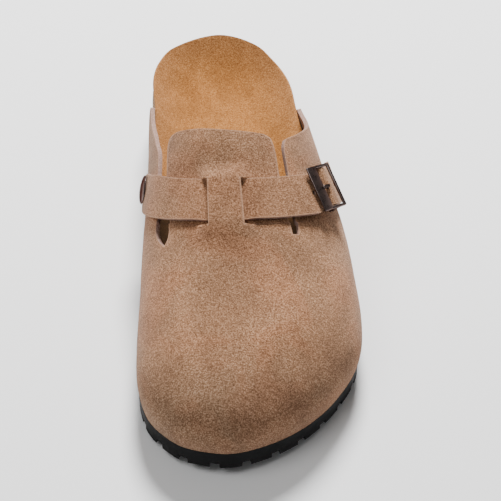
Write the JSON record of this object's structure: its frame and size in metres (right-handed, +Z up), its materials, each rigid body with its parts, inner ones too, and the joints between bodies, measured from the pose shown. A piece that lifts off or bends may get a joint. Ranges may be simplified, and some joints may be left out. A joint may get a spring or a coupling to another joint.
{
  "type": "clog",
  "caption": "Backless suede clog with a contoured cork footbed, a notched foam sole and an instep strap with a metal buckle.",
  "frame": {"origin": "under the middle of the shoe's box, on the floor", "axes": "-Y points to the toe, +X to the outer side of the left foot, +Z up"},
  "size_m": [0.1144, 0.2698, 0.0872],
  "materials": {
    "sole_rubber": "matt black foam rubber",
    "cork": "matt brown cork in grains",
    "footbed_suede": "tan suede with a short nap",
    "upper_suede": "taupe brown suede with a speckled nap",
    "dark_bronze": "dark bronze, polished"
  },
  "bodies": {
    "root": {"outsole": "sole_rubber", "cork_footbed": "cork", "insole": "footbed_suede", "upper": "upper_suede", "strap": "upper_suede", "strap_rivet": "dark_bronze", "buckle_frame": "dark_bronze", "buckle_prong": "dark_bronze", "buckle_tab": "upper_suede"}
  },
  "joints": []
}
